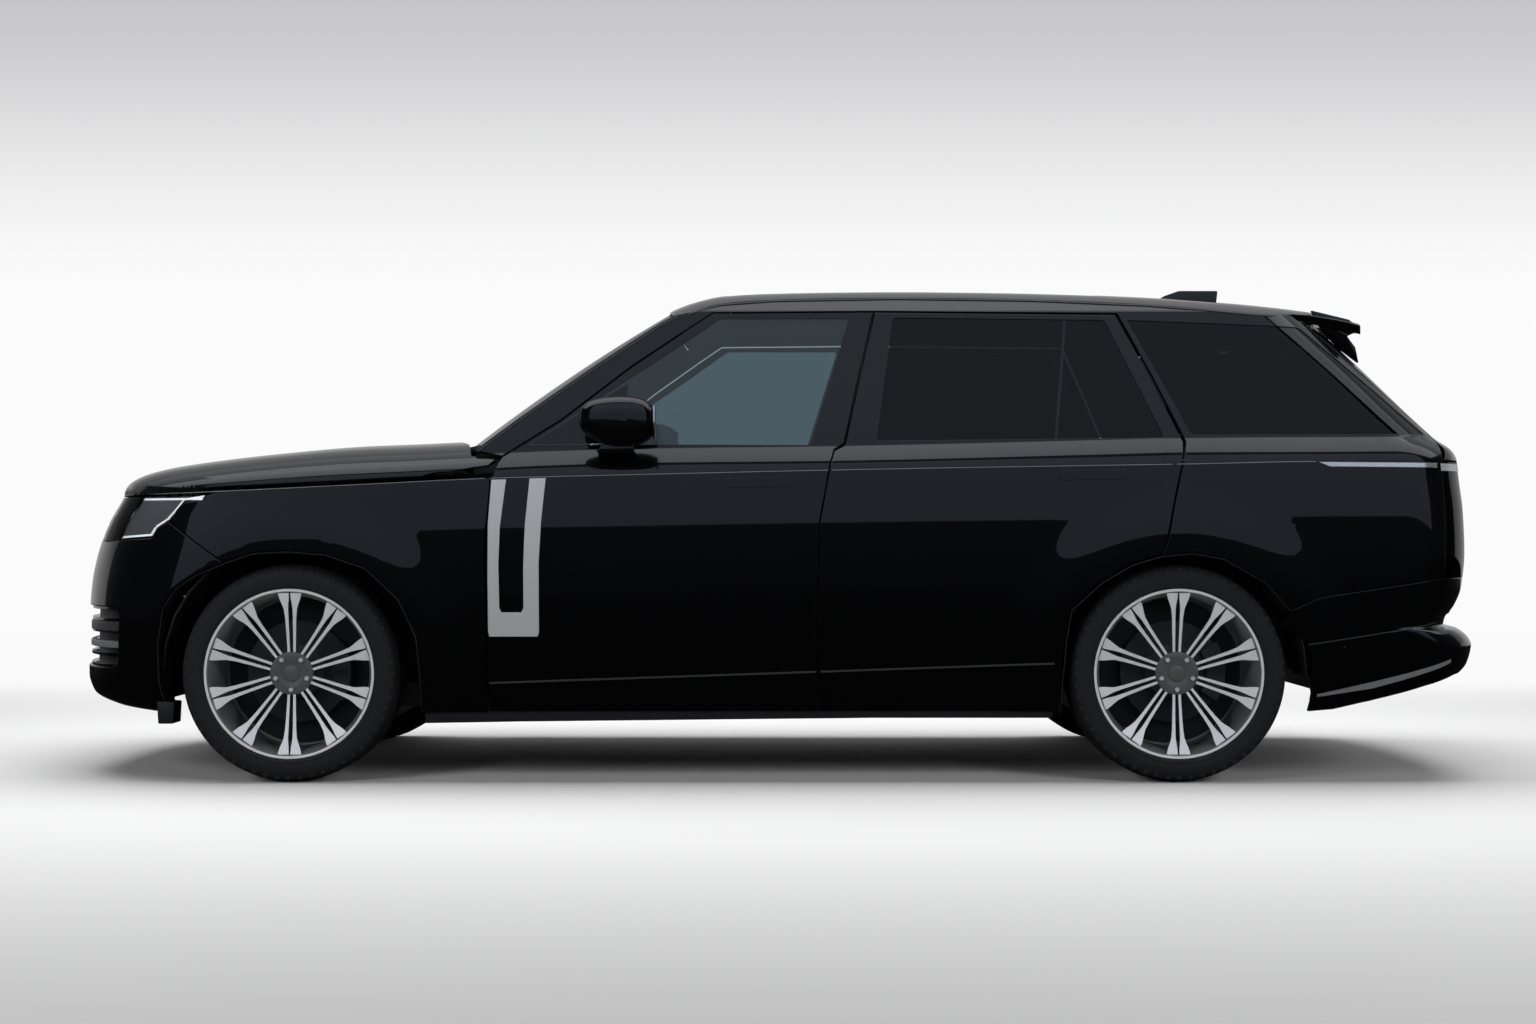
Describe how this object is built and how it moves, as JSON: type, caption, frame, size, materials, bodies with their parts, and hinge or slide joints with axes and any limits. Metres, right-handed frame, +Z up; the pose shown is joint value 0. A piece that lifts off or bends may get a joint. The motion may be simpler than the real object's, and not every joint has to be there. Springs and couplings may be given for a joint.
{
  "type": "sport utility vehicle",
  "caption": "Long-wheelbase luxury sport utility vehicle with opening doors, bonnet and split tailgate, steered front wheels and turning wheels.",
  "frame": {"origin": "middle of the ground footprint, on the ground", "axes": "+X towards the tail, +Y towards the vehicle's right, +Z up"},
  "size_m": [5.2799, 2.21, 1.87],
  "materials": {
    "paint": "gloss black paint",
    "black_trim": "black plastic",
    "clear_glass": "lightly tinted glass",
    "dark_glass": "privacy glass",
    "lamp_glass": "clear lamp",
    "red_glass": "dark lamp",
    "alloy": "machined alloy",
    "tyre": "black rubber",
    "steel": "plain steel",
    "engine": "cast",
    "leather": "dark leather",
    "soft_trim": "soft-touch dark trim"
  },
  "bodies": {
    "body": {"floor_pan": "soft_trim", "inner_frame_left": "soft_trim", "inner_frame_right": "soft_trim", "body_side_left": "paint", "body_side_right": "paint", "glass_quarter_left": "dark_glass", "glass_quarter_right": "dark_glass", "fender_left": "paint", "fender_right": "paint", "front_bumper": "paint", "grille": "black_trim", "lower_grille": "black_trim", "headlamp_left": "lamp_glass", "headlamp_right": "lamp_glass", "bulkhead": "soft_trim", "windscreen": "clear_glass", "roof_panel": "paint", "roof_glass": "dark_glass", "rear_bumper": "paint", "tail_lamp_left": "red_glass", "tail_lamp_right": "red_glass", "dashboard": "soft_trim", "centre_console": "soft_trim", "seat_front_left": "leather", "seat_front_right": "leather", "rear_bench": "leather", "engine_block": "engine", "front_subframe": "steel", "rear_axle": "steel", "exhaust": "steel", "liner_front_left": "black_trim", "liner_front_right": "black_trim", "liner_rear_left": "black_trim", "liner_rear_right": "black_trim"},
    "bonnet": {"bonnet": "paint"},
    "door_front_left": {"door_front_left": "paint", "glass_front_left": "clear_glass", "mirror_left": "paint"},
    "door_front_right": {"door_front_right": "paint", "glass_front_right": "clear_glass", "mirror_right": "paint"},
    "door_rear_left": {"door_rear_left": "paint", "glass_rear_left": "dark_glass"},
    "door_rear_right": {"door_rear_right": "paint", "glass_rear_right": "dark_glass"},
    "tailgate_upper": {"tailgate_upper": "paint", "tailgate_glass": "dark_glass"},
    "tailgate_lower": {"tailgate_lower": "paint"},
    "knuckle_front_left": {"knuckle_front_left": "steel"},
    "knuckle_front_right": {"knuckle_front_right": "steel"},
    "wheel_front_left": {"rim_front_left": "alloy", "tyre_front_left": "tyre"},
    "wheel_front_right": {"rim_front_right": "alloy", "tyre_front_right": "tyre"},
    "wheel_rear_left": {"rim_rear_left": "alloy", "tyre_rear_left": "tyre"},
    "wheel_rear_right": {"rim_rear_right": "alloy", "tyre_rear_right": "tyre"},
    "steering_wheel": {"steering_wheel": "soft_trim"}
  },
  "joints": [
    {"name": "bonnet_hinge", "type": "hinge", "parent": "body", "child": "bonnet", "pos_m": [-1, 0, 1.3], "axis": [0, 1, 0], "range_deg": [0, 48]},
    {"name": "door_front_left_hinge", "type": "hinge", "parent": "body", "child": "door_front_left", "pos_m": [-0.977, -0.998, 0.65], "axis": [0, 0, -1], "range_deg": [0, 68]},
    {"name": "door_rear_left_hinge", "type": "hinge", "parent": "body", "child": "door_rear_left", "pos_m": [0.215, -0.998, 0.65], "axis": [0, 0, -1], "range_deg": [0, 72]},
    {"name": "door_front_right_hinge", "type": "hinge", "parent": "body", "child": "door_front_right", "pos_m": [-0.977, 0.998, 0.65], "axis": [0, 0, 1], "range_deg": [0, 68]},
    {"name": "door_rear_right_hinge", "type": "hinge", "parent": "body", "child": "door_rear_right", "pos_m": [0.215, 0.998, 0.65], "axis": [0, 0, 1], "range_deg": [0, 72]},
    {"name": "tailgate_upper_hinge", "type": "hinge", "parent": "body", "child": "tailgate_upper", "pos_m": [2.015, 0, 1.762], "axis": [0, -1, 0], "range_deg": [0, 78]},
    {"name": "tailgate_lower_hinge", "type": "hinge", "parent": "body", "child": "tailgate_lower", "pos_m": [2.515, 0, 0.645], "axis": [0, 1, 0], "range_deg": [0, 88]},
    {"name": "steer_left", "type": "hinge", "parent": "body", "child": "knuckle_front_left", "pos_m": [-1.746, -0.725, 0.392], "axis": [0, 0, 1], "range_deg": [-32, 32]},
    {"name": "steer_right", "type": "hinge", "parent": "body", "child": "knuckle_front_right", "pos_m": [-1.746, 0.725, 0.392], "axis": [0, 0, 1], "range_deg": [-32, 32]},
    {"name": "spin_front_left", "type": "hinge", "parent": "knuckle_front_left", "child": "wheel_front_left", "pos_m": [-1.746, -0.846, 0.392], "axis": [0, 1, 0], "continuous": true},
    {"name": "spin_front_right", "type": "hinge", "parent": "knuckle_front_right", "child": "wheel_front_right", "pos_m": [-1.746, 0.846, 0.392], "axis": [0, 1, 0], "continuous": true},
    {"name": "spin_rear_left", "type": "hinge", "parent": "body", "child": "wheel_rear_left", "pos_m": [1.451, -0.846, 0.392], "axis": [0, 1, 0], "continuous": true},
    {"name": "spin_rear_right", "type": "hinge", "parent": "body", "child": "wheel_rear_right", "pos_m": [1.451, 0.846, 0.392], "axis": [0, 1, 0], "continuous": true},
    {"name": "steering_wheel_turn", "type": "hinge", "parent": "body", "child": "steering_wheel", "pos_m": [-0.41, -0.395, 1.175], "axis": [0.9136, 0, 0.4067], "range_deg": [-448, 448]}
  ],
  "couplings": [
    {"joint": "steer_right", "follows": "steer_left", "ratio": 1},
    {"joint": "steering_wheel_turn", "follows": "steer_left", "ratio": 14}
  ]
}
